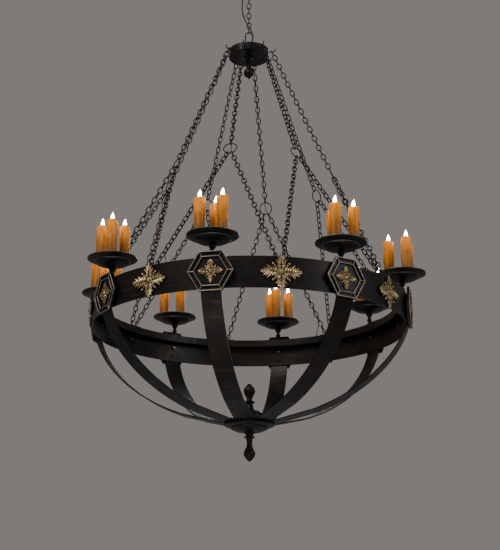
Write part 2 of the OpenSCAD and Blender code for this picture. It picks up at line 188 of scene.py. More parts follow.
def grid_faces(rows: int, columns: int, close_rows: bool = False, close_columns: bool = False) -> Array:
    """Quads of a grid whose points are counted row by row.

    Args:
        rows, columns: points along each way.
        close_rows, close_columns: whether the last line joins the first one.

    Returns:
        An array of four point numbers per face.
    """
    r, c = np.meshgrid(
        np.arange(rows if close_rows else rows - 1),
        np.arange(columns if close_columns else columns - 1),
        indexing="ij",
    )
    r, c = r.ravel(), c.ravel()
    below, beside = (r + 1) % rows * columns, (c + 1) % columns
    r = r * columns
    return np.stack([r + c, r + beside, below + beside, below + c], axis=1)


def circle(count: int) -> Array:
    """Evenly spaced angles of a full turn."""
    return np.arange(count) * (2 * math.pi / count)


def smooth_step(t: Array) -> Array:
    """0 below 0 and 1 above 1, with an S curve between: 3t^2 - 2t^3."""
    t = np.clip(t, 0.0, 1.0)
    return t * t * (3.0 - 2.0 * t)


def smooth_line(knots: Array, steps: int) -> Array:
    """A curve through every knot: a cubic per stretch, whose slope at a knot is half the chord of its
    two neighbours.

    Args:
        knots: the points to pass through, one row each.
        steps: points per stretch.

    Returns:
        The curve's points, ending on the last knot.
    """
    p = np.vstack([2 * knots[0] - knots[1], knots, 2 * knots[-1] - knots[-2]])
    a, b, c, d = (x[:, None] for x in (p[:-3], p[1:-2], p[2:-1], p[3:]))
    t = (np.arange(steps) / steps)[None, :, None]
    cubic = 2 * b + (c - a) * t + (2 * a - 5 * b + 4 * c - d) * t**2 + (3 * b - a - 3 * c + d) * t**3
    return np.vstack([0.5 * cubic.reshape(-1, 3), knots[-1]])


def tube(line: Array, radius: float, sides: int, reference: Sequence[float]) -> Surface:
    """A round tube about a line, closed at both ends. A ring's point is the line's point plus the radius
    times (cos a . normal + sin a . binormal), where the normal is square to the line and to a reference.

    Args:
        line: points down the middle.
        radius: half the tube's diameter.
        sides: points round it.
        reference: a direction that the line never runs along.

    Returns:
        The tube, mapped with turns round it and metres along it.
    """
    along = np.gradient(line, axis=0)
    along /= np.linalg.norm(along, axis=1)[:, None]
    normal = np.cross(np.array(reference, float), along)
    normal /= np.linalg.norm(normal, axis=1)[:, None]
    binormal = np.cross(along, normal)
    a = circle(sides)[None, :, None]
    rings = line[:, None] + radius * (np.cos(a) * normal[:, None] + np.sin(a) * binormal[:, None])
    ends = np.repeat(line[[0, -1]][:, None], sides, axis=1)
    rows = np.concatenate([ends[:1], rings, ends[1:]]).reshape(-1, 3)
    count = len(line) + 2
    run = np.concatenate([[0.0], np.cumsum(np.linalg.norm(np.diff(line, axis=0), axis=1))])
    run = np.concatenate([[0.0], run, run[-1:]])
    r, c = np.meshgrid(np.arange(count - 1), np.arange(sides), indexing="ij")
    r, c = r.ravel(), c.ravel()
    turns = np.stack([c, c + 1, c + 1, c], axis=1) / sides
    metres = np.stack([run[r], run[r], run[r + 1], run[r + 1]], axis=1)
    faces = grid_faces(count, sides, close_columns=True)
    return Surface(rows, faces, corners=np.stack([turns, metres], axis=2))


def revolved(radii: Array, heights: Array, sides: int) -> Surface:
    """A profile turned about Z: x = r cos a, y = r sin a, z = h. Its marks start empty."""
    a = circle(sides)[None, :]
    x, y = radii[:, None] * np.cos(a), radii[:, None] * np.sin(a)
    z = np.broadcast_to(heights[:, None], x.shape)
    points = np.stack([x, y, z], axis=2).reshape(-1, 3)
    return Surface(points, grid_faces(len(radii), sides, close_columns=True))


def make_piece(
    name: str, surface: Surface, finish: bpy.types.Material, crease: float = 40.0
) -> bpy.types.Object:
    """Puts a surface into a mesh object at the origin, with its poles welded and its faces outwards.

    Args:
        name: the piece's name.
        surface: what it is made of.
        finish: its material.
        crease: degrees past which an edge between two faces stays sharp.

    Returns:
        The new object.
    """
    mesh = bpy.data.meshes.new(name)
    flat = surface.faces.astype(np.int32).ravel()
    mesh.vertices.add(len(surface.points))
    mesh.vertices.foreach_set("co", surface.points.astype(np.float32).ravel())
    mesh.loops.add(len(flat))
    mesh.loops.foreach_set("vertex_index", flat)
    mesh.polygons.add(len(surface.faces))
    mesh.polygons.foreach_set("loop_start", np.arange(0, len(flat), 4, dtype=np.int32))
    if surface.corners is not None:
        layer = mesh.uv_layers.new(name="UVMap")
        layer.data.foreach_set("uv", surface.corners.astype(np.float32).ravel())
    for mark, values in surface.marks.items():
        attribute = mesh.attributes.new(mark, "FLOAT", "POINT")
        attribute.data.foreach_set("value", values.astype(np.float32))
    mesh.update(calc_edges=True)
    weld = bmesh.new()
    weld.from_mesh(mesh)
    bmesh.ops.remove_doubles(weld, verts=weld.verts, dist=WELD)
    bmesh.ops.dissolve_degenerate(weld, dist=0.1 * WELD, edges=weld.edges)
    bmesh.ops.recalc_face_normals(weld, faces=weld.faces)
    weld.to_mesh(mesh)
    weld.free()
    mesh.shade_smooth()
    mesh.set_sharp_from_angle(angle=math.radians(crease))
    mesh.materials.append(finish)
    piece = bpy.data.objects.new(name, mesh)
    bpy.context.scene.collection.objects.link(piece)
    return piece


def finished(
    name: str,
    surface: Surface,
    finish: bpy.types.Material,
    replaces: Sequence[str],
    body: str = "fixture",
    crease: float = 40.0,
) -> bpy.types.Object:
    """Makes a piece that rides on one body and stands for CAD nodes, and reports it."""
    piece = make_piece(name, surface, finish, crease)
    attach(piece, body)
    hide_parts(*replaces)
    log.info("%s: %d faces on %s", name, len(piece.data.polygons), body)
    return piece


# ---- finishes ----


class Shader:
    """The nodes of one material, with short calls for the ones that the finishes use."""

    def __init__(self, name: str) -> None:
        """Starts a material with its surface shader alone."""
        self.material = bpy.data.materials.new(name)
        self.material.use_nodes = True
        self.tree = self.material.node_tree
        self.surface = next(n for n in self.tree.nodes if n.type == "BSDF_PRINCIPLED")
        self.place = self.tree.nodes.new("ShaderNodeTexCoord").outputs["Object"]

    def set(self, **values: object) -> None:
        """Sets constant values on the surface shader's own sockets, such as Coat_Weight."""
        for key, value in values.items():
            self.surface.inputs[key.replace("_", " ")].default_value = value

    def feed(self, socket: str, source: bpy.types.NodeSocket) -> None:
        """Links a pattern to one of the surface shader's sockets."""
        self.tree.links.new(source, self.surface.inputs[socket])

    def node(self, kind: str, links: dict[object, object], **values: object) -> bpy.types.Node:
        """Adds a node, sets its properties, and links or sets its inputs by name or number."""
        made = self.tree.nodes.new(kind)
        for key, value in values.items():
            setattr(made, key, value)
        for key, value in links.items():
            if isinstance(value, bpy.types.NodeSocket):
                self.tree.links.new(value, made.inputs[key])
            else:
                made.inputs[key].default_value = value
        return made

    def mark(self, mark: Mark) -> bpy.types.NodeSocket:
        """A value kept at the mesh's points."""
        return self.node("ShaderNodeAttribute", {}, attribute_name=mark.value).outputs["Fac"]

    def stretched(self, scale: Sequence[float]) -> bpy.types.NodeSocket:
        """Object coordinates with a scale of their own along each axis."""
        return self.node("ShaderNodeMapping", {"Vector": self.place, "Scale": scale}).outputs["Vector"]

    def height(self) -> bpy.types.NodeSocket:
        """The height of a point in the frame's axes."""
        return self.node("ShaderNodeSeparateXYZ", {0: self.place}).outputs["Z"]

    def noise(
        self, scale: float, detail: float = 4.0, place: bpy.types.NodeSocket | None = None
    ) -> bpy.types.NodeSocket:
        """Cloudy noise from 0 to 1."""
        links = {"Vector": place or self.place, "Scale": scale, "Detail": detail}
        return self.node("ShaderNodeTexNoise", links).outputs["Fac"]

    def dents(self, scale: float) -> bpy.types.NodeSocket:
        """Shallow round hammer dents: the distance to the nearest of scattered points, smoothed."""
        links = {"Vector": self.place, "Scale": scale, "Smoothness": 0.6}
        return self.node("ShaderNodeTexVoronoi", links, feature="SMOOTH_F1").outputs["Distance"]

    def ramp(self, source: bpy.types.NodeSocket, stops: Sequence[tuple]) -> bpy.types.NodeSocket:
        """Colours along a value, given as (place, (red, green, blue))."""
        made = self.node("ShaderNodeValToRGB", {"Fac": source})
        elements = made.color_ramp.elements
        while len(elements) < len(stops):
            elements.new(1.0)
        for element, (at, colour) in zip(elements, stops):
            element.position = at
            element.color = (*colour, 1.0)
        return made.outputs["Color"]

    def range(
        self, source: bpy.types.NodeSocket, low: float, high: float, to_low: float, to_high: float
    ) -> bpy.types.NodeSocket:
        """Maps a stretch of a value to another one, and holds it at the ends."""
        links = {"Value": source, "From Min": low, "From Max": high, "To Min": to_low, "To Max": to_high}
        return self.node("ShaderNodeMapRange", links).outputs["Result"]

    def math(self, operation: str, a: object, b: object = 0.0) -> bpy.types.NodeSocket:
        """One sum of two values."""
        return self.node("ShaderNodeMath", {0: a, 1: b}, operation=operation).outputs[0]

    def mix(self, share: bpy.types.NodeSocket, a: object, b: object) -> bpy.types.NodeSocket:
        """Two colours mixed by a share."""
        a, b = ((*c, 1.0) if isinstance(c, tuple) else c for c in (a, b))
        return self.node("ShaderNodeMix", {0: share, 6: a, 7: b}, data_type="RGBA").outputs[2]

    def bump(self, layers: Sequence[tuple[bpy.types.NodeSocket, float]]) -> None:
        """Stacks bumps, each a pattern and its depth in metres, and feeds the last one's normal."""
        normal = None
        for source, depth in layers:
            links = {"Height": source, "Distance": depth, "Strength": 1.0}
            if normal is not None:
                links["Normal"] = normal
            normal = self.node("ShaderNodeBump", links).outputs["Normal"]
        self.feed("Normal", normal)


@dataclass(frozen=True)
class IronFinish:
    """Forged iron under a dark, waxed coat: brown and blue-black patches, dents, and lighter streaks
    along one axis that are a painted highlight. A lip between two heights may be lightened: worn bare,
    and partly a painted highlight."""

    name: str
    dark: tuple[float, float, float] = (0.006, 0.0062, 0.0070)
    brown: tuple[float, float, float] = (0.020, 0.0145, 0.0105)
    streak_highlight: tuple[float, float, float] = (0.085, 0.073, 0.062)
    bare_and_highlight: tuple[float, float, float] = (0.30, 0.26, 0.215)
    dent_scale: float = 55.0
    dent_depth: float = 0.0012
    streak: tuple[float, float, float] = (60.0, 60.0, 6.0)
    roughness: tuple[float, float] = (0.40, 0.62)
    lip: tuple[float, float] | None = None

    def build(self) -> bpy.types.Material:
        """Makes the material."""
        s = Shader(self.name)
        patches = s.noise(9.0, 6.0)
        base = s.ramp(patches, [(0.36, self.dark), (0.66, self.brown)])
        # Painted highlight: lighter streaks, stretched along one axis, are mixed into the base colour.
        streaks = s.noise(1.0, 7.0, s.stretched(self.streak))
        base = s.mix(s.range(streaks, 0.60, 0.78, 0.0, 0.55), base, self.streak_highlight)
        # Painted highlight, partly real wear: the lip between the two heights turns a pale tan, in
        # patches.
        if self.lip is not None:
            lip_patchiness = s.range(patches, 0.35, 0.6, 0.45, 1.0)
            share = s.math("MULTIPLY", s.range(s.height(), *self.lip, 0.0, 1.0), lip_patchiness)
            base = s.mix(share, base, self.bare_and_highlight)
        s.feed("Base Color", base)
        s.feed("Roughness", s.range(s.noise(34.0, 5.0), 0.3, 0.7, *self.roughness))
        s.bump([(s.dents(self.dent_scale), self.dent_depth), (s.noise(420.0, 3.0), 0.0002)])
        s.set(Metallic=0.75, Coat_Weight=0.18, Coat_Roughness=0.32, Coat_Tint=(0.80, 0.86, 1.0, 1.0))
        return s.material


@dataclass(frozen=True)
class WornFinish:
    """Dark iron whose raised edges are rubbed back to a warm grey, following the relief mark."""

    name: str
    dark: tuple[float, float, float] = (0.010, 0.008, 0.0075)
    edge: tuple[float, float, float] = (0.30, 0.235, 0.185)
    edge_from: float = 0.55

    def build(self) -> bpy.types.Material:
        """Makes the material."""
        s = Shader(self.name)
        patches = s.noise(70.0, 6.0)
        worn = s.math("ADD", s.mark(Mark.RELIEF), s.range(patches, 0.3, 0.7, -0.22, 0.22))
        share = s.range(worn, self.edge_from, self.edge_from + 0.3, 0.0, 1.0)
        tint = s.ramp(s.noise(30.0, 4.0), [(0.35, self.edge), (0.7, (0.36, 0.27, 0.20))])
        s.feed("Base Color", s.mix(share, self.dark, tint))
        s.feed("Roughness", s.range(patches, 0.3, 0.7, 0.32, 0.5))
        s.bump([(s.dents(150.0), 0.0003), (s.noise(500.0, 3.0), 0.0001)])
        s.set(Metallic=0.8, Coat_Weight=0.15, Coat_Roughness=0.3)
        return s.material


@dataclass(frozen=True)
class GiltFinish:
    """Cast leaves in antique gilt: dark glaze in the hollows, pale gold on the crests."""

    name: str
    glaze: tuple[float, float, float] = (0.008, 0.006, 0.0045)
    gold: tuple[float, float, float] = (0.25, 0.170, 0.085)
    crest: tuple[float, float, float] = (0.72, 0.54, 0.31)

    def build(self) -> bpy.types.Material:
        """Makes the material."""
        s = Shader(self.name)
        mottle = s.noise(60.0, 6.0)
        level = s.math("ADD", s.mark(Mark.RELIEF), s.range(mottle, 0.3, 0.7, -0.16, 0.16))
        s.feed("Base Color", s.ramp(level, [(0.34, self.glaze), (0.62, self.gold), (0.95, self.crest)]))
        s.feed("Roughness", s.range(level, 0.2, 0.9, 0.55, 0.27))
        s.bump([(s.noise(300.0, 4.0), 0.0003)])
        s.set(Metallic=0.9)
        return s.material


@dataclass(frozen=True)
class WaxFinish:
    """Resin that looks like lit wax: amber with brown streaks, darker towards the foot, and a painted
    glow near the bulb: the sleeve gives off light of its own colour though it is no lamp.
    """

    name: str
    low: tuple[float, float, float] = (0.24, 0.080, 0.001)
    middle: tuple[float, float, float] = (0.40, 0.130, 0.001)
    high: tuple[float, float, float] = (0.86, 0.27, 0.003)
    painted_glow: float = 0.34

    def build(self) -> bpy.types.Material:
        """Makes the material."""
        s = Shader(self.name)
        height = s.mark(Mark.HEIGHT)
        streaks = s.noise(1.0, 6.0, s.stretched((110.0, 110.0, 16.0)))
        level = s.math("ADD", height, s.range(streaks, 0.3, 0.7, -0.20, 0.20))
        level = s.math("ADD", level, s.math("MULTIPLY", s.mark(Mark.DRIP), 0.10))
        base = s.ramp(level, [(0.10, self.low), (0.50, self.middle), (0.98, self.high)])
        s.feed("Base Color", base)
        # Painted glow: emission in the wax's own colour, faint at the foot and strongest near the top,
        # stands in for light from the bulb inside.
        s.feed("Emission Color", base)
        s.feed("Emission Strength", s.range(level, 0.2, 1.0, 0.06, self.painted_glow))
        s.feed("Roughness", s.range(streaks, 0.3, 0.7, 0.42, 0.60))
        s.bump([(s.noise(60.0, 5.0), 0.0012), (s.noise(320.0, 3.0), 0.0003)])
        s.set(Subsurface_Weight=0.15, Subsurface_Radius=(0.012, 0.004, 0.001), Subsurface_Scale=0.5)
        s.set(Coat_Weight=0.10, Coat_Roughness=0.30)
        return s.material


@dataclass(frozen=True)
class BulbFinish:
    """A lit bulb: white in the middle of the flame, warm at its foot."""

    name: str
    power: float = 26.0

    def build(self) -> bpy.types.Material:
        """Makes the material."""
        s = Shader(self.name)
        height = s.mark(Mark.HEIGHT)
        s.feed("Emission Color", s.ramp(height, [(0.0, (1.0, 0.42, 0.12)), (0.35, (1.0, 0.80, 0.52))]))
        s.feed("Emission Strength", s.range(height, 0.05, 0.5, 1.5, self.power))
        s.set(Base_Color=(1.0, 0.93, 0.80, 1.0), Roughness=0.12)
        return s.material


@dataclass(frozen=True)
class ClothCordFinish:
    """A braided cover: two sets of strands that cross as they wind round the cord. The piece's own map
    holds turns round the cord and metres along it."""

    name: str
    strands: float = 8.0
    pitch: float = 0.014

    def build(self) -> bpy.types.Material:
        """Makes the material."""
        s = Shader(self.name)
        uv = s.node("ShaderNodeUVMap", {}, uv_map="UVMap").outputs["UV"]
        parts = s.node("ShaderNodeSeparateXYZ", {0: uv}).outputs
        turn = s.math("MULTIPLY", parts[0], 2 * math.pi * self.strands)
        run = s.math("MULTIPLY", parts[1], 4 * math.pi / self.pitch)
        one = s.math("SINE", s.math("ADD", turn, run))
        other = s.math("SINE", s.math("SUBTRACT", turn, run))
        weave = s.math("MULTIPLY", one, other)
        crest = s.range(weave, -1.0, 1.0, 0.0, 1.0)
        # Painted shade: the grooves between the strands, low in the weave, are coloured darker than the
        # crests.
        s.feed("Base Color", s.ramp(crest, [(0.3, (0.006, 0.006, 0.006)), (0.8, (0.035, 0.034, 0.032))]))
        s.bump([(weave, 0.0004)])
        s.set(Roughness=0.72, Sheen_Weight=0.2)
        return s.material


@dataclass(frozen=True)
class PlainFinish:
    """A moulded or plated part: one colour with fine mottling and a fine grain."""

    name: str
    colour: tuple[float, float, float]
    roughness: float
    metallic: float = 0.0
    grain: tuple[float, float, float] = (300.0, 300.0, 300.0)

    def build(self) -> bpy.types.Material:
        """Makes the material."""
        s = Shader(self.name)
        grain = s.noise(1.0, 4.0, s.stretched(self.grain))
        darker = tuple(c * 0.72 for c in self.colour)
        s.feed("Base Color", s.ramp(grain, [(0.3, darker), (0.7, self.colour)]))
        s.feed("Roughness", s.range(grain, 0.3, 0.7, self.roughness - 0.06, self.roughness + 0.08))
        s.bump([(grain, 0.0001)])
        s.set(Metallic=self.metallic)
        return s.material


# ---- stage ----


@dataclass(frozen=True)
class Stage:
    """Camera, soft lights, plain surroundings and floor."""

    middle: float
    lens: float = 78.5
    sensor: float = 36.0
    distance: float = 5.627
    aside: float = -0.033
    below: float = 1.510
    pitch: float = math.radians(13.13)
    shift: tuple[float, float] = (0.0136, 0.15)
    floor: float = -4.6
    floor_radius: float = 9.0

    def camera(self) -> None:
        """Sets up the camera below the ring, looking a little upwards."""
        data = bpy.data.cameras.new("camera")
        data.lens, data.sensor_width = self.lens, self.sensor
        data.shift_x, data.shift_y = self.shift
        data.clip_end = 60.0
        camera = bpy.data.objects.new("camera", data)
        camera.location = (self.aside, -self.distance, self.middle - self.below)
        camera.rotation_euler = (math.pi / 2 + self.pitch, 0.0, 0.0)
        bpy.context.scene.collection.objects.link(camera)
        bpy.context.scene.camera = camera

    def lamp(
        self, name: str, place: Sequence[float], size: float, power: float, colour: Sequence[float]
    ) -> None:
        """Adds a square soft light that faces the middle of the ring."""
        data = bpy.data.lights.new(name, "AREA")
        data.size, data.energy, data.color = size, power, colour
        light = bpy.data.objects.new(name, data)
        light.location = place
        aim = Vector((0.0, 0.0, self.middle)) - light.location
        light.rotation_euler = aim.to_track_quat("-Z", "Y").to_euler()
        bpy.context.scene.collection.objects.link(light)

    def build(self) -> None:
        """Makes camera, lights, surroundings and floor."""
        self.camera()
        self.lamp("key", (-2.4, -3.6, self.middle + 4.2), 2.4, 190.0, (1.0, 0.97, 0.93))
        self.lamp("fill", (4.6, -2.6, self.middle + 2.2), 2.6, 70.0, (0.90, 0.95, 1.0))
        self.lamp("rim", (1.5, 4.4, self.middle + 2.4), 2.4, 90.0, (0.95, 0.97, 1.0))
        self.lamp("low", (-0.5, -2.5, self.floor + 0.8), 2.6, 22.0, (1.0, 0.95, 0.9))
        world = bpy.data.worlds.new("studio")
        world.use_nodes = True
        background = world.node_tree.nodes["Background"]
        background.inputs["Color"].default_value = (0.212, 0.200, 0.189, 1.0)
        background.inputs["Strength"].default_value = 1.0
        bpy.context.scene.world = world
        disc = revolved(np.array([0.0, self.floor_radius]), np.full(2, self.floor), 64)
        finish = PlainFinish("pale floor", (0.62, 0.61, 0.60), 0.8, grain=(2.0, 2.0, 2.0))
        make_piece("floor", disc, finish.build())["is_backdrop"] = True


# ---- cords ----


@dataclass(frozen=True)
class SupplyCord:
    """The cloth-covered cord from the canopy to the hub, tied to the hanging chain halfway."""

    finish: bpy.types.Material
    tie_finish: bpy.types.Material
    radius: float = 0.0035
    sides: int = 20
    steps: int = 8
    knots: tuple[tuple[float, float, float], ...] = (
        (-0.026, -0.014, -0.036), (-0.027, -0.014, -0.050), (-0.031, -0.015, -0.075),
        (-0.034, -0.016, -0.105), (-0.035, -0.017, -0.140), (-0.028, -0.018, -0.175),
        (-0.019, -0.019, -0.203), (-0.007, -0.019, -0.226), (0.006, -0.018, -0.249),
        (0.016, -0.017, -0.272), (0.020, -0.015, -0.294), (0.015, -0.014, -0.322),
        (0.012, -0.014, -0.344),
    )
    tied_at: int = 5
    tie_length: float = 0.012
    tie_thick: float = 0.0012

    def half(self, name: str, line: Array, bodies: tuple[str, str], start: Array, end: Array) -> None:
        """Makes one half.

        Args:
            name: the piece's name.
            line: its middle line.
            bodies: what its two ends go with; not used.
            start, end: where the first body's hold ends and the second one's begins; not used.
        """
        piece = make_piece(name, tube(line, self.radius, self.sides, (0.0, 1.0, 0.0)), self.finish)
        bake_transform(piece)
        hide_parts("supply_cord")

    def build(self, foot: float) -> None:
        """Makes both halves and the tie that holds them where they meet.

        Args:
            foot: height at which the cord enters the hub.
        """
        knots = np.array([*self.knots, (0.012, -0.014, foot)])
        line = smooth_line(knots, self.steps)
        cut = self.tied_at * self.steps
        upper, lower = line[: cut + 1], line[cut:]
        holds = knots[[1, self.tied_at - 1, self.tied_at + 2, -2]]
        self.half("supply_cord_upper", upper, ("ceiling", "suspension"), *holds[:2])
        self.half("supply_cord_lower", lower, ("suspension", "fixture"), *holds[2:])
        middle, along = line[cut], line[cut + 1] - line[cut - 1]
        along /= np.linalg.norm(along)
        reach = self.tie_length * np.array([-0.5, -0.25, 0.0, 0.25, 0.5])[:, None]
        sleeve = tube(middle + reach * along, self.radius + self.tie_thick, self.sides, (0.0, 1.0, 0.0))
        tie = make_piece("supply_cord_tie", sleeve, self.tie_finish)
        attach(tie, "suspension")


# ---- chains ----


@dataclass(frozen=True)
class Chains:
    """Every chain of the chandelier, and the two leads that follow a bridle each."""

    middle: float
    finish: bpy.types.Material
    lead_finish: bpy.types.Material
    wire: float = 0.005
    play: float = 0.0003
    link_length: float = 0.038
    link_width: float = 0.025
    upper_links: int = 26
    lower_links: int = 25
    hanging_links: int = 7
    bridle_radius: float = 0.0315
    hook_out: float = 0.120
    hub_radius: float = 0.102
    eye_out: float = 0.730
    eye_side: float = 0.018
    eye_height: float = 0.087
    eye_radius: float = 0.008
    hang_top: float = -0.0669
    bend_points: int = 5
    wire_sides: int = 5
    fullness: float = 1.12
    lead_radius: float = 0.00175
    lead_gap: float = 0.0005
    entry_turn: float = math.radians(4.75)
    entry_out: float = 0.724
    entry_height: float = 0.071

    @property
    def apart(self) -> float:
        """Distance of two wires that hang in each other."""
        return self.wire + self.play

    @property
    def pitch(self) -> float:
        """Length that one link adds to a chain."""
        return self.link_length - self.wire - self.apart

    def link(self) -> Surface:
        """One link in its own XZ plane, its length along Z: an oval of two half circles and two
        straights. Its wire is a little fuller, to make up for its five flats."""
        bend = (self.link_width - self.wire) / 2
        run = (self.link_length - self.link_width) / 2
        a = np.linspace(0.0, math.pi, self.bend_points)
        a = np.concatenate([a, a + math.pi])
        lift = np.where(a < math.pi, run, -run)
        lift[self.bend_points - 1], lift[self.bend_points] = run, -run
        out = np.stack([np.cos(a), np.zeros_like(a), np.sin(a)], axis=1)
        line = out * bend + np.stack([0 * a, 0 * a, lift], axis=1)
        b = circle(self.wire_sides)[None, :, None]
        side = np.array([0.0, 1.0, 0.0])
        wire = self.fullness * self.wire / 2
        rings = line[:, None] + wire * (np.cos(b) * out[:, None] + np.sin(b) * side)
        faces = grid_faces(len(a), self.wire_sides, close_rows=True, close_columns=True)
        return Surface(rings.reshape(-1, 3), faces)

    def chain(self, start: Array, way: Array, first: Array, links: int) -> Surface:
        """A straight chain of links, each a quarter turn from the last.

        Args:
            start: outside end of the first link's wire centre line, plus half a wire.
            way: unit vector along the chain.
            first: width direction of the first link.
            links: how many.

        Returns:
            All links as one surface.
        """
        link = self.link()
        k = np.arange(links)
        centres = start + way * ((self.link_length - self.wire) / 2 + self.pitch * k)[:, None]
        across = np.where((k % 2 == 0)[:, None], first, np.cross(way, first))
        through = np.cross(way, across)
        frames = np.stack([across, through, np.broadcast_to(way, across.shape)], axis=1)
        points = np.einsum("pi,lij->lpj", link.points, frames) + centres[:, None]
        faces = link.faces[None] + (k * len(link.points))[:, None, None]
        return Surface(points.reshape(-1, 3), faces.reshape(-1, 4))

    def build(self) -> None:
        """Makes the chains, and the leads beside two of them."""
        half_step = STEP / 2
        back = self.eye_out * math.cos(half_step) + self.eye_side * math.sin(half_step)
        half = self.eye_out * math.sin(half_step) - self.eye_side * math.cos(half_step)
        upper = self.pitch * self.upper_links + self.bridle_radius - self.apart
        lower = self.pitch * self.lower_links + self.bridle_radius - self.apart + self.eye_radius
        drop = math.sqrt(lower**2 - half**2)
        hook_height = self.eye_height + math.sqrt((upper + drop) ** 2 - (back - self.hook_out) ** 2)
        hook = np.array([0.0, -self.hook_out, hook_height])
        down = np.array([0.0, -back, self.eye_height]) - hook
        down /= np.linalg.norm(down)
        side = np.array([1.0, 0.0, 0.0])
        bridle = hook + down * upper
        normal = np.cross(down, side)
        top = self.chain(hook - down * self.apart, down, side, self.upper_links)
        eyes = [np.array([s * half, -back, self.eye_height]) for s in (-1, 1)]
        ways = [(e - bridle) / np.linalg.norm(e - bridle) for e in eyes]
        hold = self.bridle_radius - self.apart
        legs = Surface.joined([self.chain(bridle + w * hold, w, normal, self.lower_links) for w in ways])
        self.leads(hook, bridle, down, normal, eyes[0], ways[0])
        for i, azimuth in enumerate(SIDE_AZIMUTHS, 1):
            for part, surface, word in (("upper", top, "chain"), ("lower", legs, "chains")):
                shown, node = surface.turned(azimuth).raised(self.middle), f"{part}_{word}_{i}"
                finished(f"{part}_links_{i}", shown, self.finish, [node], crease=180.0)
        top, down, first = np.array([[0.0, 0.0, self.hang_top], [0.0, 0.0, -1.0], [0.0, 1.0, 0.0]])
        hang = self.chain(top, down, first, self.hanging_links)
        finished("hanging_links", hang, self.finish, ["suspension_chain"], "suspension", 180.0)

    def leads(
        self, hook: Array, bridle: Array, down: Array, normal: Array, eye: Array, way: Array
    ) -> None:
        """Makes the two leads, which lie on the inner side of the links."""
        off = normal * (self.link_width / 2 + self.lead_radius + self.lead_gap)
        turn = STEP / 2 - self.entry_turn
        out = self.entry_out
        entry = np.array([-out * math.sin(turn), -out * math.cos(turn), self.entry_height])
        line = np.array(
            [
                (0.0, -self.hub_radius - self.lead_radius - 0.0001, hook[2] - 0.010),
                (0.0, -self.hub_radius - 0.008, hook[2] - 0.020),
                hook + down * 0.040 - off,
                bridle - off,
                eye - way * 0.060 - off,
                entry + [0.0, 0.0, 0.012],
                entry,
            ]
        )
        cover = tube(line, self.lead_radius, 12, (1.0, 0.0, 0.0))
        for name, azimuth in (("lead_near", SIDE_AZIMUTHS[0]), ("lead_far", SIDE_AZIMUTHS[SIDES // 2])):
            surface = cover.turned(azimuth).raised(self.middle)
            path = replace(cover, points=line).turned(azimuth).raised(self.middle).points
            piece = finished(name, surface, self.lead_finish, ["lead_wires"])


# ---- candles ----


